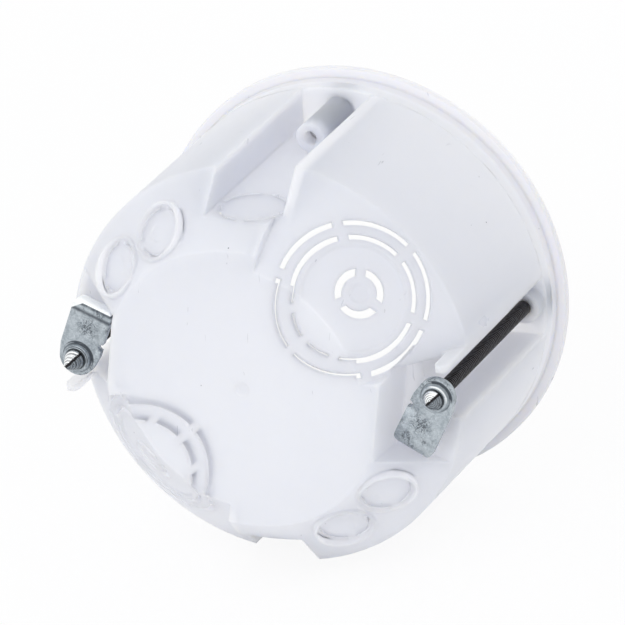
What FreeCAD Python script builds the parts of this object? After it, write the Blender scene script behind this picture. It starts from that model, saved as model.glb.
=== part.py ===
"""Round hollow-wall back box with two folding claws, one solid for each separate piece.

Frame (mm): the origin is at the centre of the flange's rear face, which bears on the board.
+Y runs along the box's axis into the wall, +Z is up and +X is right as seen from the room.
The pieces are built about a Z axis that runs to the back, and then turned into that frame.
"""
import FreeCAD, Part
import math
import os

# Moulded body
BODY_R = 33.8
LIP_WIDTH = 1.7
FLANGE_R = BODY_R + LIP_WIDTH
FLANGE_THICK = 1.2
COLLAR_PROUD = 0.1
COLLAR_R = BODY_R + COLLAR_PROUD
WALL = 1.2
DEPTH = 48.3
CONDUIT_CHAMFER = 13.3
CONDUIT_SHOULDER = DEPTH - CONDUIT_CHAMFER
CABLE_CHAMFER = 10.3
CABLE_SHOULDER = DEPTH - CABLE_CHAMFER
GATE_R = 1.1
GATE_DEPTH = 0.25

# Claw pockets and the recesses that hold the folded claws
CLAW_POCKET_SIDES = (-5.4, 4.6)
CLAW_POCKET_DEPTH = 6.8
CLAW_FLOOR = BODY_R - CLAW_POCKET_DEPTH
POCKET_FRONT = 4.4
RECESS_WIDTH = 10.6
RECESS_LEAN = 0.6
RECESS_TOP = BODY_R - RECESS_WIDTH
RECESS_FOOT = RECESS_TOP + RECESS_LEAN
RECESS_DEPTH = 9.9
RECESS_FLOOR = DEPTH - RECESS_DEPTH
RECESS_NEAR_SIDE = -9.6
RECESS_RIM_SIDE = -15.1
RECESS_NEAR_INSET = 13.8
RECESS_RIM_PROUD = 2.2
FINGER_THICK = 1.1
FINGER_SIDES = (CLAW_POCKET_SIDES[1], CLAW_POCKET_SIDES[1] + FINGER_THICK)
FINGER_INSET = 0.5
FINGER_WIDTH = 2.2
FINGER_OUT = BODY_R - FINGER_INSET
FINGER_IN = FINGER_OUT - FINGER_WIDTH
FINGER_TOP_DROP = 4.3
FINGER_TOP = DEPTH - FINGER_TOP_DROP
FINGER_FREE = 5.6
FINGER_ROUND = 1.0

# Device pockets
DEVICE_POCKET_SIDES = (-5.9, 6.4)
DEVICE_POCKET_DEPTH = 6.7
DEVICE_FLOOR = BODY_R - DEVICE_POCKET_DEPTH
PORT_DROP = 9.9
PORT_Z = DEPTH - PORT_DROP
PORT_R = 5.6
PORT_SLOT = 0.5

# Bosses
CLAW_BOSS_R = 2.7
CLAW_BOSS_END = 6.8
HEAD_WELL_R = 2.5
HEAD_WELL_WALL = 1.0
HEAD_WELL_DEPTH = 1.8
SHANK_CLEARANCE = 0.05
DEVICE_BOSS_R = 2.4
DEVICE_BOSS_END = 16.4
DEVICE_CLEARANCE = 0.03
DEVICE_PILOT_R = 1.2
DEVICE_HOLE_SPARE = 0.6
WEB_HALF = 0.7

# Conduit knock-outs: radius of the outer edge, of the inner edge and of the thin side's outer edge
CONDUIT_INSET = 9.2
CONDUIT_AT = BODY_R - CONDUIT_INSET
OUTER_RING = (12.4, 11.55, 11.95)
INNER_RING = (10.1, 9.25, 9.6)
CORE_RING = (3.95, 2.75)
CORE_SHIFT = 1.2
CORE_CUT = 4.0
BRIDGE_WIDTH = 1.55

# Cable knock-outs
CABLE_INSET = 6.4
CABLE_AT = BODY_R - CABLE_INSET
CABLE_SPREAD = 5.15
CABLE_RIM = (5.0, 4.55)
CABLE_RIM_HEIGHT = 0.3
CABLE_RING = (4.2, 3.75)
CABLE_CORE_R = 1.7
CABLE_CORE_DEPTH = 0.35

# Shallow dish inside the inner ring of a conduit knock-out, and the dimple in its core
DISH_R = 8.3
DISH_DEPTH = 0.25
CORE_DIMPLE_R = 1.5
CORE_DIMPLE_DEPTH = 0.5

# Claw screws
CLAW_SCREW_INSET = 2.9
CLAW_SCREW_AT = BODY_R - CLAW_SCREW_INSET
CLAW_HEAD_R = 2.3
CLAW_HEAD_THICK = 1.75
CLAW_SHANK_R = 1.2
CLAW_TIP_R = 1.6
CLAW_TIP_LENGTH = 1.7
CLAW_TIP_CHAMFER = 0.4
CLAW_TIP_END_R = 1.15
CLAW_SCREW_DROP = 2.4
CLAW_SCREW_END = DEPTH - CLAW_SCREW_DROP
CLAW_TIP_FROM = CLAW_SCREW_END - CLAW_TIP_LENGTH

# Claws
CLAW_THICK = 1.2
CLAW_HUB_HEIGHT = 0.8
CLAW_HUB_GAP = 0.2
CLAW_HUB_TOP = CLAW_TIP_FROM - CLAW_HUB_GAP
CLAW_PLATE_TOP = CLAW_HUB_TOP - CLAW_HUB_HEIGHT
CLAW_PLATE_LOW = CLAW_PLATE_TOP - CLAW_THICK
CLAW_HUB_R = 2.3
CLAW_EAR_R = 3.1
CLAW_HALF_WIDTH = 3.45
CLAW_WIDE_FROM = 1.2
CLAW_REACH = 10.8
CLAW_CORNER = 1.4
CLAW_LIP = 1.1
CLAW_NOTCH_START = 2.9
CLAW_NOTCH_WIDTH = 1.0
CLAW_NOTCH_DEPTH = 0.8

# Device screws
DEVICE_SCREW_INSET = 3.8
DEVICE_SCREW_AT = BODY_R - DEVICE_SCREW_INSET
DEVICE_HEAD_R = 2.7
DEVICE_HEAD_THICK = 2.0
DEVICE_HEAD_ROOM = 0.3
DEVICE_SHANK_R = 1.6
DEVICE_TIP_R = 0.8
DEVICE_TIP_LENGTH = 1.2
DEVICE_SCREW_END = 12.6
HEAD_GAP = 0.05
CROSS_DEPTH = 0.9

# Where each feature looks, in degrees about the axis
CONDUIT_ANGLES = (40.6, 220.6)
CONDUIT_SECTOR_ANGLES = (-32.0, 39.4)
OUTER_BRIDGE_ANGLES = (0.0, 60.0, 120.0, 180.0, 240.0, 300.0)
INNER_BRIDGE_ANGLES = (0.0, 58.0, 148.0, 180.0, 212.0, 302.0)
CORE_BRIDGE_ANGLES = (45.0, 165.0, 285.0)
THIN_SIDE_ANGLES = (128.0, 232.0)
CABLE_ANGLES = (131.6, 311.6)
CABLE_BRIDGE_ANGLES = (90.0, 210.0, 330.0)
PORT_BRIDGE_ANGLES = (0.0, 90.0, 180.0, 270.0)
CLAW_ANGLES = {"right": 0.0, "left": 180.0}
CLAW_FOLD_ANGLES = {"right": -111.5, "left": -117.5}
CLAW_SCREW_SET = {"right": 0.0, "left": -1.0}
RECESS_SLANT_ANGLE = -9.0
DEVICE_ANGLES = {"bottom": 90.0, "top": 270.0}

FAR = 80.0
ROOT2 = math.sqrt(2.0)
AXIS = FreeCAD.Vector(0, 0, 1)
ORIGIN = FreeCAD.Vector(0, 0, 0)


def point(x, y, z):
    """A vector."""
    return FreeCAD.Vector(x, y, z)


def turned(shape, angle):
    """A copy of the shape turned about the axis."""
    copy = shape.copy()
    copy.rotate(ORIGIN, AXIS, angle)
    return copy


def post(radius, low, high, x=0.0, y=0.0):
    """A cylinder along the axis."""
    return Part.makeCylinder(radius, high - low, point(x, y, low))


def block(x, y, z):
    """A box from three (low, high) pairs."""
    return Part.makeBox(x[1] - x[0], y[1] - y[0], z[1] - z[0], point(x[0], y[0], z[0]))


def spun(outline):
    """A solid of revolution about the axis from (radius, z) points."""
    wire = Part.makePolygon([point(r, 0, z) for r, z in outline + outline[:1]])
    return Part.Face(wire).revolve(ORIGIN, AXIS, 360)


def prism(outline, low, high):
    """A solid from (x, y) points, between two heights."""
    wire = Part.makePolygon([point(x, y, low) for x, y in outline + outline[:1]])
    return Part.Face(wire).extrude(point(0, 0, high - low))


def drum(shoulder, inset, front):
    """The round body with its 45 degree cone and flat back, taken in by inset."""
    radius = BODY_R - inset
    back = DEPTH - inset
    reach = BODY_R + shoulder - inset * ROOT2
    return spun([(0, front), (radius, front), (radius, reach - radius), (reach - back, back), (0, back)])


def wedge(low, high):
    """A sector of a large disc between two angles."""
    points = [(0.0, 0.0)]
    for step in range(5):
        angle = math.radians(low + (high - low) * step / 4.0)
        points.append((FAR * math.cos(angle), FAR * math.sin(angle)))
    return prism(points, -FAR, FAR)


def claw_pocket(inset):
    """The channel for a claw screw, with the recess for the folded claw at the back."""
    low, high = CLAW_POCKET_SIDES
    channel = block((CLAW_FLOOR - inset, FAR), (low - inset, high + inset), (POCKET_FRONT - inset, FAR))
    foot, floor = RECESS_FOOT - inset, RECESS_FLOOR - inset
    lean = (RECESS_FOOT - RECESS_TOP) / (DEPTH - RECESS_FLOOR)
    outline = [(foot, floor), (FAR, floor), (FAR, FAR), (foot - lean * (FAR - floor), FAR)]
    wire = Part.makePolygon([point(x, -FAR, z) for x, z in outline + outline[:1]])
    recess = Part.Face(wire).extrude(point(0, 2 * FAR, 0))
    recess.rotate(point(RECESS_FOOT, 0, 0), AXIS, RECESS_SLANT_ANGLE)
    near = BODY_R - RECESS_NEAR_INSET
    spread = (RECESS_RIM_SIDE - RECESS_NEAR_SIDE) / (RECESS_NEAR_INSET + RECESS_RIM_PROUD)
    start, end = RECESS_NEAR_SIDE - near * spread, RECESS_NEAR_SIDE + (FAR - near) * spread
    plan = [(0.0, start - inset), (FAR, end - inset), (FAR, high + inset), (0.0, high + inset)]
    return channel.fuse(recess.common(prism(plan, 0.0, FAR)))


def device_pocket(inset):
    """The channel that holds the boss of a device screw."""
    low, high = DEVICE_POCKET_SIDES
    return block((DEVICE_FLOOR - inset, FAR), (low - inset, high + inset), (POCKET_FRONT - inset, FAR))


def skin(inset, front):
    """The body's outer shape, taken in by inset on every side but the mouth."""
    shape = drum(CABLE_SHOULDER, inset, front)
    lean = drum(CONDUIT_SHOULDER, inset, front)
    margin = math.degrees(inset / CONDUIT_AT)
    low, high = CONDUIT_SECTOR_ANGLES
    for angle in CONDUIT_ANGLES:
        sector = turned(wedge(low - margin, high + margin), angle)
        shape = shape.cut(sector).fuse(lean.common(sector))
    for angle in CLAW_ANGLES.values():
        shape = shape.cut(turned(claw_pocket(inset), angle))
    for angle in DEVICE_ANGLES.values():
        shape = shape.cut(turned(device_pocket(inset), angle))
    return shape


def ring_slot(outer, inner, bridges, reach):
    """A circular slot in the z = 0 plane, left open by no more than its bridges."""
    slot = Part.makeCylinder(outer, 2 * reach, point(0, 0, -reach))
    slot = slot.cut(Part.makeCylinder(inner, 2 * reach, point(0, 0, -reach)))
    half = BRIDGE_WIDTH / 2.0
    for angle in bridges:
        slot = slot.cut(turned(block((0, FAR), (-half, half), (-reach, reach)), angle))
    return slot


def double_slot(ring, bridges, reach):
    """A slot that is thinner on the side nearer the axis of the box."""
    outer, inner, thin = ring
    near = wedge(*THIN_SIDE_ANGLES)
    wide = ring_slot(outer, inner, bridges, reach).cut(near)
    return wide.fuse(ring_slot(thin, inner, bridges, reach).common(near))


def on_cone(shape, radius, shoulder, angle):
    """Places a shape made about the z axis on the cone, square to its surface."""
    copy = shape.copy()
    copy.rotate(ORIGIN, point(0, 1, 0), 45.0)
    copy.translate(point(radius, 0, BODY_R + shoulder - radius))
    return turned(copy, angle)


def conduit_slots(angle):
    """The three rings of slots of one conduit knock-out."""
    large = double_slot(OUTER_RING, OUTER_BRIDGE_ANGLES, OUTER_RING[0])
    large = large.fuse(double_slot(INNER_RING, INNER_BRIDGE_ANGLES, OUTER_RING[0]))
    core = ring_slot(CORE_RING[0], CORE_RING[1], CORE_BRIDGE_ANGLES, CORE_CUT)
    core.translate(point(CORE_SHIFT, 0, 0))
    return on_cone(large.fuse(core), CONDUIT_AT, CONDUIT_SHOULDER, angle)


def conduit_dish(angle):
    """The shallow dish and the core's dimple of one conduit knock-out."""
    disc = Part.makeCylinder(DISH_R, 2 * CORE_CUT, point(0, 0, -CORE_CUT))
    disc = on_cone(disc, CONDUIT_AT, CONDUIT_SHOULDER, angle)
    dish = disc.cut(drum(CONDUIT_SHOULDER - DISH_DEPTH * ROOT2, 0.0, 0.0))
    dimple = post(CORE_DIMPLE_R, -CORE_DIMPLE_DEPTH, CORE_CUT, CORE_SHIFT)
    return dish, on_cone(dimple, CONDUIT_AT, CONDUIT_SHOULDER, angle)


def cable_shapes(angle):
    """The raised rims, and the slots and dimples, of two cable knock-outs."""
    rims, cuts = [], []
    for side in (-CABLE_SPREAD, CABLE_SPREAD):
        rim = post(CABLE_RIM[0], -WALL, CABLE_RIM_HEIGHT).cut(post(CABLE_RIM[1], -CORE_CUT, CORE_CUT))
        slot = ring_slot(CABLE_RING[0], CABLE_RING[1], CABLE_BRIDGE_ANGLES, CORE_CUT)
        dimple = post(CABLE_CORE_R, -CABLE_CORE_DEPTH, CORE_CUT)
        for shape, group in ((rim, rims), (slot, cuts), (dimple, cuts)):
            shape.translate(point(0, side, 0))
            group.append(on_cone(shape, CABLE_AT, CABLE_SHOULDER, angle))
    return rims, cuts


def port_slot(angle):
    """The round knock-out in the floor of a device pocket."""
    slot = ring_slot(PORT_R, PORT_R - PORT_SLOT, PORT_BRIDGE_ANGLES, CORE_CUT)
    slot.rotate(ORIGIN, point(0, 1, 0), 90.0)
    middle = sum(DEVICE_POCKET_SIDES) / 2.0
    slot.translate(point(DEVICE_FLOOR, middle, PORT_Z))
    return turned(slot, angle)


def finger(angle):
    """The finger that stops a claw when it has swung out: the pocket's side wall, carried past the cone."""
    out, near, top, corner = FINGER_OUT, FINGER_IN, FINGER_TOP, FINGER_ROUND
    root, free = CLAW_FLOOR - WALL / 2.0, FINGER_TOP - FINGER_FREE
    low = CONDUIT_SHOULDER - WALL
    outline = [(root, low), (out, low), (out, top - corner), (out - corner / 2.0, top),
               (near + corner / 2.0, top), (near, top - corner), (near, free), (root, free - corner)]
    wire = Part.makePolygon([point(x, FINGER_SIDES[0], z) for x, z in outline + outline[:1]])
    return turned(Part.Face(wire).extrude(point(0, FINGER_THICK, 0)), angle)


def claw_boss(angle):
    """The well for a claw screw's head and the boss below it."""
    well = post(HEAD_WELL_R + HEAD_WELL_WALL, -FLANGE_THICK, POCKET_FRONT - WALL / 2.0, CLAW_SCREW_AT)
    collar = post(BODY_R - WALL / 4.0, -FLANGE_THICK, FAR)
    boss = post(CLAW_BOSS_R, 0.0, CLAW_BOSS_END, CLAW_SCREW_AT)
    return turned(well.common(collar).fuse(boss), angle)


def claw_holes(angle):
    """The counterbore and the hole for a claw screw."""
    well = post(HEAD_WELL_R, -FAR, HEAD_WELL_DEPTH, CLAW_SCREW_AT)
    hole = post(CLAW_SHANK_R + SHANK_CLEARANCE, 0, CLAW_BOSS_END + WALL, CLAW_SCREW_AT)
    return turned(well.fuse(hole), angle)


def device_boss(angle):
    """The long boss of a device screw, with webs to the collar and the pocket floor."""
    boss = post(DEVICE_BOSS_R, 0.0, DEVICE_BOSS_END, DEVICE_SCREW_AT)
    web = (-WEB_HALF, WEB_HALF)
    outer = block((DEVICE_SCREW_AT, BODY_R - WALL / 2.0), web, (0.0, POCKET_FRONT))
    inner = block((DEVICE_FLOOR - WALL / 2.0, DEVICE_SCREW_AT), web, (POCKET_FRONT - WALL, DEVICE_BOSS_END))
    return turned(boss.fuse(outer).fuse(inner), angle)


def device_holes(angle):
    """The screw hole, its pilot end and the room for the head in the flange."""
    end = DEVICE_SCREW_END + DEVICE_HOLE_SPARE
    hole = post(DEVICE_SHANK_R + DEVICE_CLEARANCE, -FAR, end, DEVICE_SCREW_AT)
    pilot = post(DEVICE_PILOT_R, 0.0, DEVICE_BOSS_END + WALL, DEVICE_SCREW_AT)
    head = post(DEVICE_HEAD_R + DEVICE_HEAD_ROOM, -FAR, 0.0, DEVICE_SCREW_AT)
    return turned(hole.fuse(pilot).fuse(head), angle)


def box_body():
    """The whole moulding: flange, collar, pockets, knock-outs, bosses and fingers."""
    shape = skin(0.0, 0.0).fuse(post(FLANGE_R, -FLANGE_THICK, 0.0))
    shape = shape.fuse(post(COLLAR_R, 0.0, POCKET_FRONT))
    for angle in CABLE_ANGLES:
        for rim in cable_shapes(angle)[0]:
            shape = shape.fuse(rim)
    shape = shape.cut(skin(WALL, -FLANGE_THICK - WALL))
    for angle in CLAW_ANGLES.values():
        shape = shape.fuse(claw_boss(angle)).fuse(finger(angle)).cut(claw_holes(angle))
    for angle in DEVICE_ANGLES.values():
        shape = shape.fuse(device_boss(angle)).cut(device_holes(angle)).cut(port_slot(angle))
    for angle in CONDUIT_ANGLES:
        for cut in conduit_dish(angle):
            shape = shape.cut(cut)
        shape = shape.cut(conduit_slots(angle))
    for angle in CABLE_ANGLES:
        for cut in cable_shapes(angle)[1]:
            shape = shape.cut(cut)
    return shape.cut(post(GATE_R, DEPTH - GATE_DEPTH, FAR)).removeSplitter()


def cross(radius, top, x):
    """The two crossed slots of a screw head, cut down from its top."""
    long, half = radius * 0.62, radius * 0.16
    first = block((x - long, x + long), (-half, half), (top - CROSS_DEPTH, top + CROSS_DEPTH))
    second = block((x - half, x + half), (-long, long), (top - CROSS_DEPTH, top + CROSS_DEPTH))
    return first.fuse(second)


def claw_screw(angle, drive):
    """A long claw screw, driven by so much: crossed head, plain shank and the thread beyond the claw."""
    head = post(CLAW_HEAD_R, drive, drive + CLAW_HEAD_THICK, CLAW_SCREW_AT)
    shank = post(CLAW_SHANK_R, drive + CLAW_HEAD_THICK, CLAW_TIP_FROM, CLAW_SCREW_AT)
    end = CLAW_SCREW_END + drive
    mid = end - CLAW_TIP_CHAMFER
    tip = post(CLAW_TIP_R, CLAW_TIP_FROM, mid, CLAW_SCREW_AT)
    nose = Part.makeCone(CLAW_TIP_R, CLAW_TIP_END_R, CLAW_TIP_CHAMFER, point(CLAW_SCREW_AT, 0, mid))
    shape = head.fuse(shank).fuse(tip).fuse(nose)
    return turned(shape.cut(cross(CLAW_HEAD_R, drive, CLAW_SCREW_AT)), angle)


def claw(angle, fold):
    """A stamped claw: hub round the screw, plate, notch and turned-down lip."""
    low, high = CLAW_PLATE_LOW, CLAW_PLATE_TOP
    half, reach, corner = CLAW_HALF_WIDTH, CLAW_REACH, CLAW_CORNER
    ear, wide = CLAW_EAR_R, CLAW_WIDE_FROM
    outline = [(0, -ear), (wide, -half), (reach - corner, -half), (reach, corner - half),
               (reach, half - corner), (reach - corner, half), (wide, half), (0, ear)]
    plate = prism(outline, low, high).fuse(post(ear, low, high))
    lip_zone = block((reach - CLAW_THICK, FAR), (-half, half), (-FAR, FAR))
    lip = prism(outline, low - CLAW_LIP, high).common(lip_zone)
    hub = post(CLAW_HUB_R, low, CLAW_HUB_TOP)
    start = CLAW_NOTCH_START
    notch = block((start, start + CLAW_NOTCH_WIDTH), (-FAR, CLAW_NOTCH_DEPTH - half), (-FAR, FAR))
    hole = post(CLAW_SHANK_R + SHANK_CLEARANCE, -FAR, FAR)
    shape = plate.fuse(lip).fuse(hub).cut(notch).cut(hole)
    shape = turned(shape, fold)
    shape.translate(point(CLAW_SCREW_AT, 0, 0))
    return turned(shape, angle)


def device_screw(angle):
    """A short device screw with a crossed head, driven home in its boss."""
    low = -HEAD_GAP - DEVICE_HEAD_THICK
    head = post(DEVICE_HEAD_R, low, -HEAD_GAP, DEVICE_SCREW_AT)
    taper = DEVICE_SCREW_END - DEVICE_TIP_LENGTH
    shank = post(DEVICE_SHANK_R, -HEAD_GAP, taper, DEVICE_SCREW_AT)
    end = Part.makeCone(DEVICE_SHANK_R, DEVICE_TIP_R, DEVICE_TIP_LENGTH, point(DEVICE_SCREW_AT, 0, taper))
    shape = head.fuse(shank).fuse(end)
    return turned(shape.cut(cross(DEVICE_HEAD_R, low, DEVICE_SCREW_AT)), angle)


def write(name, shape):
    """Turns a piece into the part frame and writes it."""
    piece = shape.copy()
    piece.rotate(ORIGIN, point(1, 0, 0), -90.0)
    piece.exportStep("parts/" + name + ".step")


def main():
    """Builds every piece."""
    os.makedirs("parts", exist_ok=True)
    write("box_body", box_body())
    for side, angle in CLAW_ANGLES.items():
        write("claw_screw_" + side, claw_screw(angle, CLAW_SCREW_SET[side]))
        write("claw_" + side, claw(angle, CLAW_FOLD_ANGLES[side]))
    for side, angle in DEVICE_ANGLES.items():
        write("device_screw_" + side, device_screw(angle))


main()
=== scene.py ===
"""Looks of a round back box for plasterboard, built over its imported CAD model.

The frame is the CAD model's, in metres: the box's axis runs along Y, from the open mouth at Y = 0 to
the flat back, and Z points up. The box lies on its side, on the rim of its flange. The sizes of the
screws and claws are written in millimetres, as a drawing has them.
"""

import logging
import math
from collections.abc import Iterator
from contextlib import contextmanager
from dataclasses import dataclass
from enum import Enum
from typing import Any

import bpy
from mathutils import Matrix, Vector

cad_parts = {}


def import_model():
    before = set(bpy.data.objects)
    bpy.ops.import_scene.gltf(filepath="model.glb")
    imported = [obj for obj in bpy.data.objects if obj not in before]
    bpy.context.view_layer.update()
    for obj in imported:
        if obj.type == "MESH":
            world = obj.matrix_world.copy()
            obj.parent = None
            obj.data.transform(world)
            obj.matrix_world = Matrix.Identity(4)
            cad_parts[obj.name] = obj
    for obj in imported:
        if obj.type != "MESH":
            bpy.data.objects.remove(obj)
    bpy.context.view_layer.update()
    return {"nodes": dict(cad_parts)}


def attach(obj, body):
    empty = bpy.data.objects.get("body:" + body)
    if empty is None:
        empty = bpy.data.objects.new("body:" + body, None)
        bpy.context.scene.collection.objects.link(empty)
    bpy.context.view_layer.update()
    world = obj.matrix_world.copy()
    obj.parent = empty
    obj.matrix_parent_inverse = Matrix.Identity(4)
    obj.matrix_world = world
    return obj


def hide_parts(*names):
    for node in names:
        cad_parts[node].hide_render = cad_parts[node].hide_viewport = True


log = logging.getLogger("back_box")

MM = 0.001
Colour = tuple[float, float, float]
Spot = tuple[float, float, float]
Point = tuple[float, float]
Piece = bpy.types.Object


class Side(Enum):
    """Which side of the box a piece is on, seen from its open front: the sign of X."""

    LEFT = -1
    RIGHT = 1


class End(Enum):
    """Which end of the upright line through the box a piece is at: the sign of Z."""

    BOTTOM = -1
    TOP = 1


class Slot(Enum):
    """The record's material slots."""

    PLASTIC = "natural_plastic"
    ZINC = "zinc_plated_steel"
    DARK = "dark_steel"


class Wire:
    """A socket that gives a value, with Python's operators as Math nodes."""

    def __init__(self, shader: "Shader", socket: bpy.types.NodeSocket) -> None:
        """Wraps a socket of that shader."""
        self.shader = shader
        self.socket = socket

    def math(self, operation: str, first: Any, second: Any = 0.0) -> "Wire":
        """Adds a Math node.

        Args:
            operation: The Math node's operation.
            first: Its first value or wire.
            second: Its second value or wire.

        Returns:
            The wire of the result.
        """
        return self.shader.node("ShaderNodeMath", {"operation": operation}, {0: first, 1: second})

    def __add__(self, other: Any) -> "Wire":
        """The sum."""
        return self.math("ADD", self, other)

    def __radd__(self, other: Any) -> "Wire":
        """The sum, with a number in front."""
        return self.math("ADD", other, self)

    def __sub__(self, other: Any) -> "Wire":
        """The difference."""
        return self.math("SUBTRACT", self, other)

    def __rsub__(self, other: Any) -> "Wire":
        """The difference from a number."""
        return self.math("SUBTRACT", other, self)

    def __mul__(self, other: Any) -> "Wire":
        """The product."""
        return self.math("MULTIPLY", self, other)

    def __truediv__(self, other: Any) -> "Wire":
        """The quotient."""
        return self.math("DIVIDE", self, other)

    def __or__(self, other: Any) -> "Wire":
        """The larger of the two, which joins masks."""
        return self.math("MAXIMUM", self, other)

    def band(self, low: float, high: float, soft: float) -> "Wire":
        """A mask that is 1 between two values, with soft ends."""
        return self.rising(low - soft, low + soft) * self.rising(high + soft, high - soft)

    def ring(self, limits: Point, soft: float) -> "Wire":
        """A band between two distances, with all three values in millimetres."""
        return self.band(limits[0] * MM, limits[1] * MM, soft * MM)

    def ripple(self, half: float) -> "Wire":
        """A wave that goes from 0 to 1 and back, each way over so many millimetres."""
        return self.math("PINGPONG", self, half * MM) / (half * MM)

    def rising(self, low: float, high: float) -> "Wire":
        """A smooth step.

        Args:
            low: Where it is 0.
            high: Where it is 1; below low, the step falls.

        Returns:
            The wire of the step.
        """
        settings = {"interpolation_type": "SMOOTHSTEP"}
        if low < high:
            return self.shader.node("ShaderNodeMapRange", settings, {0: self, 1: low, 2: high})
        return self.shader.node("ShaderNodeMapRange", settings, {0: self, 1: high, 2: low, 3: 1.0, 4: 0.0})


class Shader:
    """One node tree under construction."""

    def __init__(self, tree: bpy.types.NodeTree) -> None:
        """Empties a tree."""
        self.tree = tree
        tree.nodes.clear()

    def node(
        self,
        kind: str,
        settings: dict[str, Any] | None = None,
        inputs: dict[int | str, Any] | None = None,
        output: int | str = 0,
    ) -> Wire:
        """Adds one node.

        Args:
            kind: The node's type.
            settings: Its properties, set first.
            inputs: Values or wires by the name or number of the input.
            output: The name or number of the output that is given back.

        Returns:
            The wire of that output.
        """
        made = self.tree.nodes.new(kind)
        for name, value in (settings or {}).items():
            setattr(made, name, value)
        for name, value in (inputs or {}).items():
            if isinstance(value, Wire):
                self.tree.links.new(value.socket, made.inputs[name])
            else:
                made.inputs[name].default_value = value
        return Wire(self, made.outputs[output]) if len(made.outputs) else Wire(self, None)

    def place(self, stretch: Spot = (1, 1, 1), turn: Spot = (0, 0, 0), centre: Spot = (0, 0, 0)) -> Wire:
        """Object coordinates, stretched and turned about a point.

        Args:
            stretch: The factor along each axis.
            turn: The turn about each axis, in degrees.
            centre: The point that becomes the origin.

        Returns:
            The wire of the coordinates.
        """
        here = self.node("ShaderNodeTexCoord", output="Object")
        here = self.node("ShaderNodeVectorMath", {"operation": "SUBTRACT"}, {0: here, 1: centre})
        return self.node(
            "ShaderNodeMapping",
            {"vector_type": "POINT"},
            {"Vector": here, "Rotation": tuple(math.radians(a) for a in turn), "Scale": stretch},
        )

    def split(self, at: Wire) -> tuple[Wire, Wire, Wire]:
        """The three parts of a vector wire."""
        parts = self.node("ShaderNodeSeparateXYZ", inputs={0: at}).socket.node.outputs
        return Wire(self, parts[0]), Wire(self, parts[1]), Wire(self, parts[2])

    def away(self, first: Wire, second: Wire) -> Wire:
        """How far a point is from the origin, from two of its coordinates."""
        place = self.node("ShaderNodeCombineXYZ", inputs={0: first, 1: second})
        return self.node("ShaderNodeVectorMath", {"operation": "LENGTH"}, {0: place}, "Value")

    def noise(self, at: Wire, size: float, detail: float = 2, rough: float = 0.5, warp: float = 0) -> Wire:
        """Noise whose blotches are about that size, in metres."""
        values = {"Vector": at, "Scale": 1.0 / size, "Detail": detail}
        return self.node("ShaderNodeTexNoise", inputs={**values, "Roughness": rough, "Distortion": warp})

    def specks(self, at: Wire, spacing: float, radius: float) -> Wire:
        """A mask of scattered round specks of that radius, one in each cube of that spacing."""
        values = {"Vector": at, "Scale": 1.0 / spacing, "Randomness": 1.0}
        near = self.node("ShaderNodeTexVoronoi", {"feature": "F1"}, values, "Distance")
        return near.rising(radius / spacing, 0.55 * radius / spacing)

    def blend(self, share: Any, first: Any, second: Any) -> Wire:
        """Mixes two colours.

        Args:
            share: How much of the second there is.
            first: A colour or wire.
            second: A colour or wire.

        Returns:
            The wire of the colour.
        """
        values = {0: share}
        for number, colour in ((6, first), (7, second)):
            values[number] = colour if isinstance(colour, Wire) else (*colour, 1.0)
        return self.node("ShaderNodeMix", {"data_type": "RGBA"}, values, 2)

    def bump(self, height: Wire, depth: float, edge: float = 0.0) -> Wire:
        """A Bump node.

        Args:
            height: The wire of the height.
            depth: How deep the relief is, in metres.
            edge: How far in metres sharp edges are shaded as if they were round.

        Returns:
            The wire of the normal.
        """
        inputs = {"Height": height, "Strength": 1.0, "Distance": depth}
        if edge:
            inputs["Normal"] = self.node("ShaderNodeBevel", {"samples": 6}, {"Radius": edge})
        return self.node("ShaderNodeBump", inputs=inputs)

    def skin(self, **values: Any) -> Wire:
        """A Principled shader that has these values."""
        inputs = {name.replace("_", " "): value for name, value in values.items()}
        inputs["Emission Strength"] = 0.0
        return self.node("ShaderNodeBsdfPrincipled", inputs=inputs)

    def surface(self, **values: Any) -> None:
        """Ends the tree with a Principled shader that has these values."""
        self.node("ShaderNodeOutputMaterial", inputs={"Surface": self.skin(**values)})


def new_shader(name: str) -> tuple[bpy.types.Material, Shader]:
    """A new material of that name, and its emptied node tree."""
    made = bpy.data.materials.new(name)
    made.use_nodes = True
    return made, Shader(made.node_tree)


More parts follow.
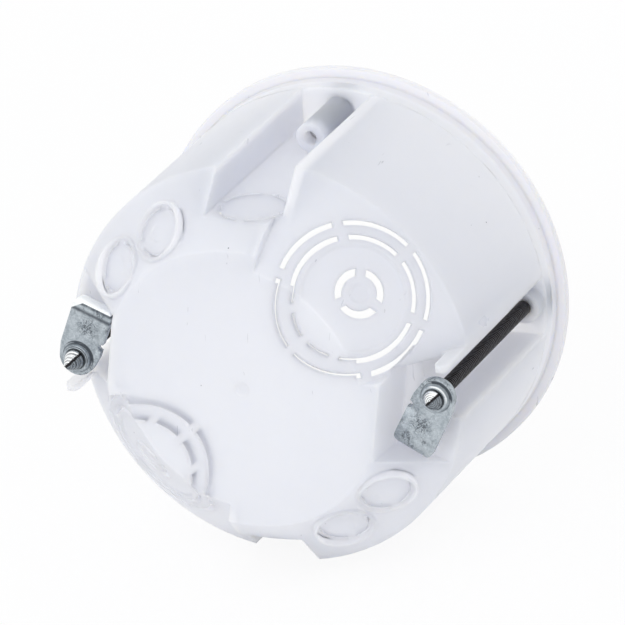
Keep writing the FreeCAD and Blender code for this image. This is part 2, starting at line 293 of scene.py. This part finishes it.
@dataclass(frozen=True)
class MilkyPlastic:
    """Natural polypropylene: cloudy and half clear, with dust specks and hairline scuffs; in metres.

    The thin rim of the flange gets a denser mix and a darker colour, painted shade, or the light in it
    would make it as white as the background.
    """

    name: str = "milky_plastic"
    pale: Colour = (0.92, 0.93, 0.997)
    thick: Colour = (0.882, 0.896, 0.975)
    dirt: Colour = (0.16, 0.18, 0.23)
    # The darker colour of the flange's thin rim: painted shade.
    rim: Colour = (0.79, 0.793, 0.825)
    rim_to: float = 0.0016
    rim_fade: float = 0.0008
    milk: float = 1.0
    spread: Colour = (1.15, 1.06, 0.9)
    depth: float = 0.013
    rim_depth: float = 0.0012
    edge: float = 0.0007
    relief: float = 0.00009
    cloud_size: float = 0.022
    speck_spacing: float = 0.0052
    speck_radius: float = 0.00016

    def make(self) -> bpy.types.Material:
        """Builds the material.

        Returns:
            The material.
        """
        made, s = new_shader(self.name)
        here = s.place()
        _, deep, high = s.split(here)
        cloud = s.noise(here, self.cloud_size, 3, 0.55, 0.6).rising(0.36, 0.66)
        patch = s.noise(here, 0.008, 2).rising(0.40, 0.62)
        grain = s.noise(here, 0.0007, 3, 0.6)
        sparse = (s.noise(here, 0.016, 2) + high.rising(-0.02, 0.034) * 0.09).rising(0.52, 0.60)
        specks = s.specks(here, self.speck_spacing, self.speck_radius) * sparse
        hair = s.noise(s.place((1, 0.12, 0.25), (18, 30, 12)), 0.0011, 2, 0.5, 1.2)
        scuffs = hair.rising(0.715, 0.745) * patch * 0.7
        colour = s.blend(cloud * 0.55 + patch * 0.15, self.pale, self.thick)
        rim = deep.rising(self.rim_to + self.rim_fade, self.rim_to)
        # Painted shade: the flange's thin rim is darkened.
        colour = s.blend(rim, colour, self.rim)
        colour = s.blend(specks * 0.9 | scuffs * 0.45, colour, self.dirt)
        relief = s.noise(here, 0.006, 2) * 0.8 + grain * 0.12 + specks * 0.15
        shared = {
            "Base_Color": colour,
            "Roughness": 0.44 + cloud * 0.08 - patch * 0.04 + scuffs * 0.2,
            "IOR": 1.49,
            "Subsurface_Weight": self.milk,
            "Subsurface_Radius": self.spread,
            "Normal": s.bump(relief, self.relief, self.edge),
        }
        thin = s.skin(Subsurface_Scale=self.depth, **shared)
        dense = s.skin(Subsurface_Scale=self.rim_depth, **shared)
        mixed = s.node("ShaderNodeMixShader", inputs={0: rim, 1: thin, 2: dense})
        s.node("ShaderNodeOutputMaterial", inputs={"Surface": mixed})
        return made


@dataclass(frozen=True)
class ZincSteel:
    """Zinc-plated steel sheet, dull blue-grey, stained, scuffed and scratched, with painted shade and
    painted highlights; sizes in millimetres.
    """

    side: Side
    turn: float
    centre: Spot
    bright: Colour = (0.56, 0.61, 0.65)
    dull: Colour = (0.32, 0.365, 0.40)
    # The dark colour of the stains and of the painted shade.
    stain_and_shade: Colour = (0.05, 0.06, 0.075)
    # The painted highlight's colour, and how strong it is along the bent lip.
    painted_highlight: Colour = (0.94, 0.96, 0.96)
    lip_highlight: float = 1.0
    # How dark the plate's far end and the painted shade along its bend are.
    banded: float = 1.0
    # How much painted shade the hub's rings get; where it is 0, the hub gets a painted glint.
    ribbed: float = 1.0
    reach: float = 10.8
    bend: float = 7.9
    scuff: Point = (5.7, 0.3)
    scuff_r: Point = (0.8, 2.4)
    # Where the hub's painted shade, its shaded rings, glint, collar lines and dark arc lie, as distances
    # from the screw.
    shade: Point = (2.36, 2.85)
    rib_shade: Point = (1.5, 2.9)
    rib_half: float = 0.16
    glint: Point = (2.04, 2.22)
    seams: tuple[Point, Point] = ((2.38, 2.56), (1.86, 1.90))
    arc: Point = (2.68, 2.74)

    def _hub_marks(self, s: Shader, along: Wire, across: Wire, mottle: Wire) -> tuple[Wire, Wire]:
        """The marks round the drawn hub: painted shade and a painted glint, which differ between its lit
        and its shaded side, and dark lines round the collar.

        Args:
            s: The shader.
            along: The distance from the screw along the claw.
            across: The distance from its middle line.
            mottle: The blotches of the plating.

        Returns:
            The dark marks with the painted shade, and the painted glint.
        """
        hub = s.away(along, across)
        outward, _, upward = s.split(s.place(centre=self.centre))
        # Which way the light falls across the hub, which places the painted shade and glint.
        light_slope = upward * 0.75 - outward * 0.66 + mottle * 0.0004
        # Painted shade on the hub's shaded side.
        shaded = hub.ring(self.shade, 0.08) * light_slope.rising(0.0012, 0.0019)
        # The collar's rings, darkened on its shaded side: painted shade.
        rib_shade = hub.ripple(self.rib_half).rising(0.30, 0.75) * hub.ring(self.rib_shade, 0.08)
        rib_shade = rib_shade * light_slope.rising(-0.0004, 0.0014) * self.ribbed
        # Dark lines round the collar: painted shade in the crease at its foot, and a line round its top
        # edge.
        outer, inner = self.seams
        seams = hub.ring(outer, 0.06) * 0.7 | hub.ring(inner, 0.04) * 0.8
        # A thin arc of painted shade on the other side.
        arc = hub.ring(self.arc, 0.05) * light_slope.rising(-0.0008, -0.0016)
        # A painted glint on the collar's rim.
        glint = hub.ring(self.glint, 0.05) * light_slope.rising(0.0011, 0.0017) * (1.0 - self.ribbed)
        return seams | arc * 0.6 | shaded * 1.3 | rib_shade * 1.25, glint * 0.75

    def _plate_marks(self, s: Shader, along: Wire, across: Wire) -> tuple[Wire, Wire]:
        """The plate's marks: its stains, a darker far end, a line of painted shade along the bend, and its
        scuffed patch.
        """
        here = s.place(turn=(0, -self.turn, 0), centre=self.centre)
        wide = s.noise(here, 0.0034, 2, 0.5, 1.0).rising(0.46, 0.66)
        broken = s.noise(here, 0.0006, 4, 0.7, 0.8).rising(0.44, 0.60)
        far = along.rising((self.bend + 0.9) * MM, (self.bend + 1.4) * MM)
        # A line of painted shade along the bend.
        line = along.ring((self.bend - 0.1, self.bend + 0.5), 0.3)
        away = s.away(along - self.scuff[0] * MM, across - self.scuff[1] * MM)
        near, gone = self.scuff_r
        scuffed = away.rising(gone * MM, near * MM) * s.noise(here, 0.00055, 3, 0.6, 1.5).rising(0.46, 0.58)
        # The darker far end and the bend's painted shade.
        end = (far * (broken * 0.45 + 0.9) | line * 1.15) * self.banded
        return wide * broken | end, scuffed

    def make(self) -> bpy.types.Material:
        """Builds the material.

        Returns:
            The material.
        """
        made, s = new_shader(f"zinc_steel_{self.side.name.lower()}")
        here = s.place(turn=(0, -self.turn, 0), centre=self.centre)
        along, _, across = s.split(here)
        mottle = s.noise(here, 0.0011, 5, 0.7, 0.6).rising(0.36, 0.64)
        grain = s.noise(here, 0.00022, 2, 0.6)
        # The hub's dark marks with its painted shade, and its painted glint.
        dark, glint = self._hub_marks(s, along, across, mottle)
        stains_and_shade, scuffed = self._plate_marks(s, along, across)
        # Stains, the scuffed patch, the darker far end and the painted shade darken the plating together.
        stains_and_shade = stains_and_shade | scuffed | dark
        lines = s.noise(s.place((0.07, 1, 1), (0, 34, 0)), 0.00022, 2).rising(0.60, 0.68)
        ends = along | (along * 0.72 - across * 0.70 + 0.00135)
        # A painted highlight along the bent lip at the claw's far end.
        painted_lip_highlight = ends.ring((self.reach - 0.62, self.reach + 1.0), 0.06) * self.lip_highlight
        colour = s.blend(mottle * 0.6 + (grain - 0.5) * 1.2 + 0.2, self.bright, self.dull)
        colour = s.blend(stains_and_shade * 0.72, colour, self.stain_and_shade)
        colour = s.blend(lines * 0.2, colour, self.bright)
        # The painted highlights on the lip and the hub.
        colour = s.blend(painted_lip_highlight | glint, colour, self.painted_highlight)
        s.surface(
            Base_Color=colour,
            Metallic=0.92 - stains_and_shade * 0.35,
            Roughness=0.32 + mottle * 0.14 + stains_and_shade * 0.22,
            Normal=s.bump(mottle * 0.5 + grain * 0.3 - lines * 0.2 - scuffed * 0.5, 0.00006),
        )
        return made


@dataclass(frozen=True)
class DarkSteel:
    """Blackened screw steel, rubbed grey in places, with a painted reflection and painted shade on the
    staked tip; sizes in millimetres.
    """

    name: str = "dark_steel"
    centre: Spot = (0.0, 0.0, 0.0)
    tip_from: float = 44.1
    head_to: float = 0.0
    groove_turn: float = 42.2
    groove_half: float = 0.22
    ring_half: float = 0.15
    black: Colour = (0.018, 0.016, 0.018)
    worn: Colour = (0.10, 0.105, 0.12)
    grey: Colour = (0.26, 0.29, 0.32)
    plated: Colour = (0.46, 0.49, 0.52)
    # The colour of the painted reflection on the tip.
    bright: Colour = (0.93, 0.95, 0.96)

    def _painted_tip(self, s: Shader, along: Wire, beyond: Wire, rubbed: Wire) -> Wire:
        """The colour of the tip: a painted reflection on one side of the groove, grey on the other, with
        painted shade in the groove and its rings.
        """
        edge = beyond + rubbed * 0.0002 - 0.0001
        # Dark rings on the tip: painted shade in its grooves.
        rings = s.away(along, beyond).ripple(self.ring_half).rising(0.55, 0.80)
        # Painted shade in the staking groove.
        groove = edge.ring((-self.groove_half, self.groove_half), 0.06)
        # A painted reflection on one side of the groove, grey steel on the other.
        colour = s.blend(edge.rising(0.0, 0.0002), s.blend(rubbed, self.grey, self.worn), self.bright)
        return s.blend(rings * 0.62 | groove * 0.97, colour, self.black)

    def make(self) -> bpy.types.Material:
        """Builds the material.

        Returns:
            The material.
        """
        made, s = new_shader(self.name)
        here = s.place()
        rubbed = s.noise(here, 0.0005, 4, 0.7).rising(0.50, 0.72)
        broad = s.noise(here, 0.004, 2).rising(0.40, 0.65)
        along, height, beyond = s.split(s.place(turn=(0, -self.groove_turn, 0), centre=self.centre))
        tip = height.rising((self.tip_from - 0.03) * MM, (self.tip_from + 0.03) * MM)
        head = height.rising(self.head_to * MM, (self.head_to - 0.05) * MM)
        colour = s.blend(rubbed * 0.5 + broad * 0.15, self.black, self.worn)
        # The tip's painted reflection and painted shade.
        colour = s.blend(tip, colour, self._painted_tip(s, along, beyond, rubbed))
        colour = s.blend(head * 0.9, colour, self.plated)
        s.surface(
            Base_Color=colour,
            Metallic=0.8 + tip * 0.15,
            Roughness=0.34 + broad * 0.14 - tip * 0.1,
            Normal=s.bump(rubbed * 0.5 + broad * 0.3, 0.00004),
        )
        return made


class Bench:
    """Modelling by Blender's operators, on one object at a time."""

    @staticmethod
    def clear() -> None:
        """Deselects every object."""
        if bpy.context.object and bpy.context.object.mode != "OBJECT":
            bpy.ops.object.mode_set(mode="OBJECT")
        bpy.ops.object.select_all(action="DESELECT")

    @classmethod
    def pick(cls, *objects: Piece) -> None:
        """Selects these objects alone, and makes the first the active one."""
        cls.clear()
        for piece in objects:
            piece.select_set(True)
        bpy.context.view_layer.objects.active = objects[0]

    @classmethod
    @contextmanager
    def editing(cls, piece: Piece) -> Iterator[None]:
        """Edit mode on one object, for a with block."""
        cls.pick(piece)
        bpy.ops.object.mode_set(mode="EDIT")
        bpy.ops.mesh.select_mode(type="VERT")
        yield
        bpy.ops.object.mode_set(mode="OBJECT")

    @staticmethod
    def outline(name: str, points: list[Spot], closed: bool = True) -> Piece:
        """A new piece with one line through these points, in millimetres."""
        count = len(points)
        mesh = bpy.data.meshes.new(name)
        edges = [(number, (number + 1) % count) for number in range(count if closed else count - 1)]
        mesh.from_pydata([Vector(point) * MM for point in points], edges, [])
        piece = bpy.data.objects.new(name, mesh)
        bpy.context.scene.collection.objects.link(piece)
        return piece

    @classmethod
    def plate(cls, name: str, points: list[Spot], rise: Spot) -> Piece:
        """A closed outline in millimetres, filled and drawn out into a solid.

        Args:
            name: The piece's name.
            points: The outline.
            rise: How far and which way it is drawn out, in millimetres.

        Returns:
            The new piece.
        """
        piece = cls.outline(name, points)
        with cls.editing(piece):
            bpy.ops.mesh.select_all(action="SELECT")
            bpy.ops.mesh.edge_face_add()
            bpy.ops.mesh.extrude_region_move(TRANSFORM_OT_translate={"value": Vector(rise) * MM})
            bpy.ops.mesh.select_all(action="SELECT")
            bpy.ops.mesh.normals_make_consistent(inside=False)
        return piece

    @classmethod
    def lathe(cls, name: str, points: list[Point], closed: bool = False, steps: int = 48) -> Piece:
        """Spins an outline round the Y axis.

        Args:
            name: The piece's name.
            points: The outline's (radius, Y) points, in millimetres.
            closed: Whether the outline is a closed ring.
            steps: How many faces go round.

        Returns:
            The new piece.
        """
        piece = cls.outline(name, [(radius, height, 0.0) for radius, height in points], closed)
        spin = {"axis": "Y", "angle": 2 * math.pi, "steps": steps, "render_steps": steps}
        cls.modify(piece, "SCREW", use_merge_vertices=True, merge_threshold=0.000001, **spin)
        with cls.editing(piece):
            bpy.ops.mesh.select_all(action="SELECT")
            bpy.ops.mesh.normals_make_consistent(inside=False)
        return piece

    @classmethod
    def block(cls, name: str, size: Spot, place: Spot, turn: float = 0.0) -> Piece:
        """A box of that size and place in millimetres, turned about the Y axis by so many degrees."""
        cls.clear()
        turned = (0, math.radians(turn), 0)
        bpy.ops.mesh.primitive_cube_add(size=1.0, location=Vector(place) * MM, rotation=turned)
        piece = bpy.context.object
        piece.name, piece.scale = name, Vector(size) * MM
        bpy.ops.object.transform_apply(location=True, rotation=True, scale=True)
        return piece

    @classmethod
    def combine(cls, piece: Piece, operation: str, *tools: Piece) -> None:
        """Cuts a piece with tools, adds them to it or keeps what they share, and deletes the tools."""
        for tool in tools:
            cls.modify(piece, "BOOLEAN", operation=operation, object=tool, solver="EXACT")
            cls.pick(tool)
            bpy.ops.object.delete()

    @staticmethod
    def thread(piece: Piece, low: float, high: float, pitch: float, depth: float) -> None:
        """Presses a screw thread into a round piece on the Y axis.

        Args:
            piece: The piece.
            low: The lower end of the thread, in millimetres.
            high: Its upper end.
            pitch: Its pitch.
            depth: Its depth.
        """
        for vertex in piece.data.vertices:
            height, radius = vertex.co.y / MM, math.hypot(vertex.co.x, vertex.co.z) / MM
            if low < height < high and radius > depth:
                turns = height / pitch + math.atan2(vertex.co.z, vertex.co.x) / (2 * math.pi)
                fade = min(1.0, (height - low) / pitch, (high - height) / pitch)
                shrink = 1.0 - depth * abs(2.0 * (turns % 1.0) - 1.0) * fade / radius
                vertex.co.x *= shrink
                vertex.co.z *= shrink

    @classmethod
    def copy_node(cls, node: Piece, name: str, flat: float = 0.4) -> Piece:
        """Copies a CAD node's mesh, merges its corners and dissolves the seams of its flat faces.

        Args:
            node: The CAD node.
            name: The new piece's name.
            flat: The largest angle between faces that become one, in degrees.

        Returns:
            The new piece.
        """
        piece = bpy.data.objects.new(name, node.data.copy())
        piece.data.name = name
        piece.data.materials.clear()
        bpy.context.scene.collection.objects.link(piece)
        with cls.editing(piece):
            bpy.ops.mesh.select_all(action="SELECT")
            bpy.ops.mesh.remove_doubles(threshold=0.000002)
            bpy.ops.mesh.customdata_custom_splitnormals_clear()
            bpy.ops.mesh.dissolve_limited(angle_limit=math.radians(flat))
        return piece

    @classmethod
    def modify(cls, piece: Piece, kind: str, **settings: Any) -> None:
        """Adds a modifier with these settings and applies it."""
        cls.pick(piece)
        added = piece.modifiers.new(kind.lower(), kind)
        for name, value in settings.items():
            setattr(added, name, value)
        bpy.ops.object.modifier_apply(modifier=added.name)

    @classmethod
    def settle(cls, piece: Piece, smooth: float = 32.0) -> None:
        """Applies a piece's place and shades it smooth up to an angle in degrees."""
        cls.pick(piece)
        bpy.ops.object.transform_apply(location=True, rotation=True, scale=True)
        bpy.ops.object.shade_smooth_by_angle(angle=math.radians(smooth))


def dress(piece: Piece, material: bpy.types.Material, body: str, node: str) -> None:
    """Gives a piece its material and body, in place of a CAD node."""
    piece.data.materials.clear()
    piece.data.materials.append(material)
    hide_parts(node)
    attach(piece, body)
    log.info("piece %s: %d faces, rides on %s", piece.name, len(piece.data.polygons), body)


@dataclass
class BoxShell:
    """The moulded plastic box."""

    node: str = "box_body"
    smooth: float = 30.0
    finish: MilkyPlastic = MilkyPlastic()

    def build(self, nodes: dict[str, Piece]) -> Piece:
        """Makes the shell.

        Args:
            nodes: The CAD nodes by name.

        Returns:
            The finished piece.
        """
        piece = Bench.copy_node(nodes[self.node], "box_shell")
        Bench.settle(piece, self.smooth)
        dress(piece, self.finish.make(), "box", self.node)
        return piece


def cross(name: str, radius: float, low: float, deep: float) -> list[Piece]:
    """Two crossed bars that cut the recess of a screw head whose top is at that Y."""
    long, wide = radius * 1.24, radius * 0.32
    return [
        Bench.block(f"{name}_bar_{number}", size, (0, low, 0))
        for number, size in enumerate([(long, 2 * deep, wide), (wide, 2 * deep, long)])
    ]


@dataclass
class WallScrew:
    """A long blackened screw that draws one claw towards the board; sizes in millimetres."""

    side: Side
    place: float = 30.9
    head_r: float = 2.3
    head_thick: float = 1.75
    shank_r: float = 1.2
    thread_from: float = 9.0
    thread_pitch: float = 0.5
    thread_depth: float = 0.09
    tip_r: float = 1.6
    tip_from: float = 44.2
    head_rim: float = 0.35
    groove: Point = (0.42, 0.5)
    tip_thread: float = 0.16
    cross_depth: float = 0.9

    @property
    def driven(self) -> float:
        """How far the screw is driven in from its seat, in millimetres."""
        return -1.0 if self.side is Side.LEFT else 0.0

    @property
    def end(self) -> float:
        """Where the tip ends; the right screw stands out further."""
        return 46.8 if self.side is Side.RIGHT else 44.95

    def _profile(self) -> list[Point]:
        """The outline from the head's top to the tip."""
        low, chin, head = self.driven, self.driven + self.head_thick, self.head_r
        rim = self.head_rim
        points = [(0.0, low), (head - rim, low), (head - 0.1, low + 0.1), (head, low + rim)]
        points += [(head, chin - 0.15), (head - 0.15, chin), (self.shank_r, chin)]
        points += self._rod(self.shank_r, self.shank_r, self.thread_from, self.tip_from - 0.05)
        points += [(self.shank_r, self.tip_from), (self.tip_r - 0.12, self.tip_from)]
        shoulder = self.tip_from + (0.45 if self.side is Side.RIGHT else 0.25)
        nose = 0.8 if self.side is Side.RIGHT else 1.2
        points += self._rod(self.tip_r, self.tip_r, self.tip_from + 0.1, shoulder)
        points += self._rod(self.tip_r - 0.03, nose, shoulder + 0.06, self.end - 0.12)
        return points + [(nose - 0.1, self.end - 0.03), (nose - 0.25, self.end), (0.0, self.end)]

    def _rod(self, first: float, last: float, low: float, high: float) -> list[Point]:
        """Closely spaced points from one radius to another."""
        count = max(2, round((high - low) / self.thread_pitch * 6))
        narrower, longer = last - first, high - low
        return [(first + narrower * n / count, low + longer * n / count) for n in range(count + 1)]

    def build(self) -> Piece:
        """Makes the screw.

        Returns:
            The finished piece.
        """
        side = self.side.name.lower()
        centre = (self.side.value * self.place * MM, 0.0, 0.0)
        finish = DarkSteel(f"dark_steel_{side}", centre, head_to=self.driven + self.head_thick + 0.1)
        piece = Bench.lathe(f"wall_screw_{side}", self._profile(), steps=32)
        Bench.thread(piece, self.thread_from, self.tip_from - 0.02, self.thread_pitch, self.thread_depth)
        Bench.thread(piece, self.tip_from + 0.02, self.end + 0.2, self.thread_pitch, self.tip_thread)
        width, depth = self.groove
        cutter = Bench.block("groove", (5.0, 2 * depth, width), (0, self.end, 0), finish.groove_turn)
        recess = cross("cross", self.head_r, self.driven, self.cross_depth)
        Bench.combine(piece, "DIFFERENCE", cutter, *recess)
        piece.location = centre
        Bench.settle(piece, 40.0)
        dress(piece, finish.make(), f"{side}_wall_screw", f"claw_screw_{side}")
        return piece


@dataclass
class Claw:
    """A pressed steel claw that swings out behind the board; sizes in millimetres."""

    side: Side
    place: float = 30.9
    top: float = 43.2
    thick: float = 1.2
    ear_r: float = 3.1
    half: float = 3.45
    wide_from: float = 1.4
    corner: float = 1.5
    lip: float = 0.5
    bend_r: float = 0.9
    notch: Point = (3.4, 0.62)
    hub_r: float = 2.3
    hub_top: float = 44.0
    hole_r: float = 1.25
    edge: float = 0.14

    @property
    def reach(self) -> float:
        """How far the claw reaches from the screw; the right one stands a little shorter."""
        return 10.1 if self.side is Side.RIGHT else 10.8

    @property
    def fold(self) -> float:
        """The claw's turn about the screw in the part's frame, in degrees."""
        return -111.5 if self.side is Side.RIGHT else 180.0 - 117.5

    @staticmethod
    def _arc(centre: Point, radius: float, start: float, stop: float, count: int = 8) -> list[Point]:
        """Points on an arc, in degrees."""
        angles = [math.radians(start + (stop - start) * n / count) for n in range(count + 1)]
        return [(centre[0] + radius * math.cos(a), centre[1] + radius * math.sin(a)) for a in angles]

    def _plan(self) -> list[Point]:
        """The plate's outline along and across the claw, with round corners and the notch."""
        half, inner, out = self.half, self.half - self.corner, self.reach - self.corner
        at, bite = self.notch
        points = self._arc((0.0, 0.0), self.ear_r, 100.0, 260.0, 20)
        points += [(self.wide_from, -half)]
        points += self._arc((at, -half + 0.12), bite, 190.0, -10.0, 10)
        points += self._arc((out, -inner), self.corner, -90.0, 0.0)
        points += self._arc((out, inner), self.corner, 0.0, 90.0)
        return points + [(self.wide_from, half)]

    def _section(self) -> list[Point]:
        """The plate's side view: (along, Y) points, with the rounded lip."""
        low, inner, back = self.top - self.thick, self.reach - self.thick, -self.ear_r - 1.0
        lip_low = low - self.lip
        bend = self._arc((self.reach - self.bend_r, self.top - self.bend_r), self.bend_r, 90.0, 0.0)
        points = [(back, self.top), *bend, (self.reach, lip_low), (inner, lip_low)]
        return points + [(inner, low - 0.2), (inner - 0.2, low), (back, low)]

    def _hub(self) -> Piece:
        """The drawn collar round the screw."""
        plate, top, out, hole = self.top, self.hub_top, self.hub_r, self.hole_r
        low = plate - self.thick + 0.02
        points = [(hole, low), (out, low), (out + 0.25, plate - 0.1), (out + 0.2, plate + 0.06)]
        points += [(out + 0.02, plate + 0.22), (out - 0.04, top - 0.2), (out - 0.14, top - 0.06)]
        points += [(out - 0.3, top), (hole + 0.55, top), (hole + 0.38, top - 0.12)]
        points += [(hole + 0.3, top - 0.35), (hole, top - 0.4)]
        return Bench.lathe("hub", points, closed=True, steps=56)

    def build(self) -> Piece:
        """Makes the claw.

        Returns:
            The finished piece.
        """
        side = self.side.name.lower()
        centre = (self.side.value * self.place * MM, 0.0, 0.0)
        section = [(along, height, -self.half - 1.0) for along, height in self._section()]
        piece = Bench.plate(f"claw_plate_{side}", section, (0, 0, 2 * self.half + 2.0))
        plan = [(along, self.top - 5.0, -across) for along, across in self._plan()]
        Bench.combine(piece, "INTERSECT", Bench.plate("plan", plan, (0, 8.0, 0)))
        bore, low, high = self.hub_r - 0.2, self.top - 5.0, self.top + 5.0
        well = [(0.0, low), (bore, low), (bore, high), (0.0, high)]
        Bench.combine(piece, "DIFFERENCE", Bench.lathe("well", well))
        sharp = {"limit_method": "ANGLE", "angle_limit": math.radians(40)}
        Bench.modify(piece, "BEVEL", width=self.edge * MM, segments=2, **sharp)
        Bench.combine(piece, "UNION", self._hub())
        piece.rotation_euler = (0, math.radians(self.fold), 0)
        piece.location = centre
        Bench.settle(piece, 35.0)
        # The left claw gets a weaker painted lip highlight, a paler far end, and a painted glint in place
        # of painted shade on the hub's rings.
        look = {} if self.side is Side.RIGHT else {"lip_highlight": 0.12, "banded": 0.2, "ribbed": 0.0}
        finish = ZincSteel(self.side, self.fold, centre, reach=self.reach, **look)
        dress(piece, finish.make(), f"{side}_claw", f"claw_{side}")
        return piece


@dataclass
class DeviceScrew:
    """A short screw in the flange, for the switch or socket that the box carries; in millimetres."""

    end: End
    place: float = 30.0
    head_r: float = 2.7
    head: Point = (-2.05, -0.05)
    shank_r: float = 1.6
    taper: Point = (11.4, 12.6)
    tip_r: float = 0.8
    pitch: float = 0.6
    thread_from: float = 0.6
    thread_depth: float = 0.22
    cross_depth: float = 0.9

    def _profile(self) -> list[Point]:
        """The outline from the head's top to the tip."""
        top, chin = self.head
        first, last = self.taper
        head, start = self.head_r, self.thread_from
        points = [(0.0, top), (head - 0.9, top), (head - 0.35, top + 0.18), (head, top + 0.7)]
        points += [(head, chin - 0.2), (head - 0.2, chin), (self.shank_r, chin)]
        count = round((first - start) / self.pitch * 6)
        points += [(self.shank_r, start + (first - start) * n / count) for n in range(count + 1)]
        return points + [(self.tip_r, last), (0.0, last)]

    def build(self, material: bpy.types.Material) -> Piece:
        """Makes the screw.

        Args:
            material: The dark steel.

        Returns:
            The finished piece.
        """
        end = self.end.name.lower()
        piece = Bench.lathe(f"device_fixing_{end}", self._profile(), steps=32)
        Bench.thread(piece, self.thread_from - 0.1, self.taper[0], self.pitch, self.thread_depth)
        Bench.combine(piece, "DIFFERENCE", *cross("cross", self.head_r, self.head[0], self.cross_depth))
        piece.location = (0.0, 0.0, self.end.value * self.place * MM)
        Bench.settle(piece, 40.0)
        dress(piece, material, f"{end}_device_screw", f"device_screw_{end}")
        return piece


@dataclass
class Studio:
    """White floor, white surroundings and soft light."""

    floor_z: float = -0.0356
    floor_size: float = 6.0
    white: Colour = (0.92, 0.92, 0.93)
    seen_white: float = 0.9
    world_light: float = 0.93
    world_tint: Colour = (0.985, 0.99, 1.0)

    @staticmethod
    def _seen(s: Shader) -> Wire:
        """A mask of camera, glossy and transmission rays."""
        camera = s.node("ShaderNodeLightPath", output="Is Camera Ray")
        glossy = s.node("ShaderNodeLightPath", output="Is Glossy Ray")
        through = s.node("ShaderNodeLightPath", output="Is Transmission Ray")
        return camera | glossy | through

    def build(self) -> None:
        """Makes the floor, the world and the lamps."""
        Bench.clear()
        bpy.ops.mesh.primitive_plane_add(size=self.floor_size, location=(0, 0, self.floor_z))
        floor = bpy.context.object
        floor.name = "floor"
        Bench.settle(floor)
        made, s = new_shader("white_floor")
        paint = s.node("ShaderNodeBsdfDiffuse", inputs={"Color": (*self.white, 1.0)})
        glow = s.node("ShaderNodeEmission", inputs={"Color": (1, 1, 1, 1), "Strength": 1.0})
        share = self._seen(s) * self.seen_white
        mixed = s.node("ShaderNodeMixShader", inputs={0: share, 1: paint, 2: glow})
        s.node("ShaderNodeOutputMaterial", inputs={"Surface": mixed})
        floor.data.materials.append(made)
        self._world()
        self._lamp("key_lamp", (0.1, 1.0, 0.5), 0.9, 3.0)
        self._lamp("mouth_lamp", (0.0, -0.6, 0.06), 0.2, 0.5)
        log.info("studio: floor, surroundings and two lamps")

    def _world(self) -> None:
        """Makes surroundings that are white where seen, and a softer light elsewhere."""
        world = bpy.data.worlds.new("surroundings")
        bpy.context.scene.world = world
        world.use_nodes = True
        s = Shader(world.node_tree)
        seen = self._seen(s)
        light = {"Color": (*self.world_tint, 1.0), "Strength": self.world_light}
        plain = s.node("ShaderNodeBackground", inputs=light)
        shown = s.node("ShaderNodeBackground", inputs={"Color": (1, 1, 1, 1), "Strength": 1.0})
        mixed = s.node("ShaderNodeMixShader", inputs={0: seen, 1: plain, 2: shown})
        s.node("ShaderNodeOutputWorld", inputs={"Surface": mixed})

    @staticmethod
    def _lamp(name: str, place: Spot, size: float, watts: float) -> None:
        """Adds a square soft lamp that points at the box."""
        lamp = bpy.data.lights.new(name, "AREA")
        lamp.size, lamp.energy = size, watts
        held = bpy.data.objects.new(name, lamp)
        held.location = place
        held.rotation_euler = (Vector((0, 0.02, 0)) - Vector(place)).to_track_quat("-Z", "Y").to_euler()
        bpy.context.scene.collection.objects.link(held)


@dataclass
class View:
    """A long lens behind the box, above it and to its left."""

    place: Spot = (-0.50219, 1.08706, 0.50361)
    right: Spot = (-0.91459, -0.39874, -0.06745)
    up: Spot = (0.10009, -0.38478, 0.91757)
    back: Spot = (-0.39182, 0.83244, 0.39182)
    lens: float = 462.2
    sensor: float = 36.0

    def build(self) -> None:
        """Makes the camera and gives it to the scene."""
        data = bpy.data.cameras.new("camera")
        data.lens, data.sensor_width, data.sensor_fit = self.lens, self.sensor, "HORIZONTAL"
        data.clip_start, data.clip_end = 0.05, 20.0
        camera = bpy.data.objects.new("camera", data)
        columns = Matrix((self.right, self.up, self.back)).transposed().to_4x4()
        camera.matrix_world = Matrix.Translation(self.place) @ columns
        bpy.context.scene.collection.objects.link(camera)
        bpy.context.scene.camera = camera
        log.info("camera: %.1f mm lens", self.lens)


def main() -> None:
    """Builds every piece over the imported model, then the studio and the view."""
    logging.basicConfig(level=logging.INFO, format="%(message)s")
    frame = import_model()
    nodes = frame["nodes"]
    bpy.context.scene.view_settings.view_transform = "Standard"
    View().build()
    Studio().build()
    dark = DarkSteel(black=(0.10, 0.125, 0.155), worn=(0.21, 0.245, 0.28)).make()
    BoxShell().build(nodes)
    for side in Side:
        WallScrew(side).build()
        Claw(side).build()
    for end in End:
        DeviceScrew(end).build(dark)


if __name__ == "__main__":
    main()
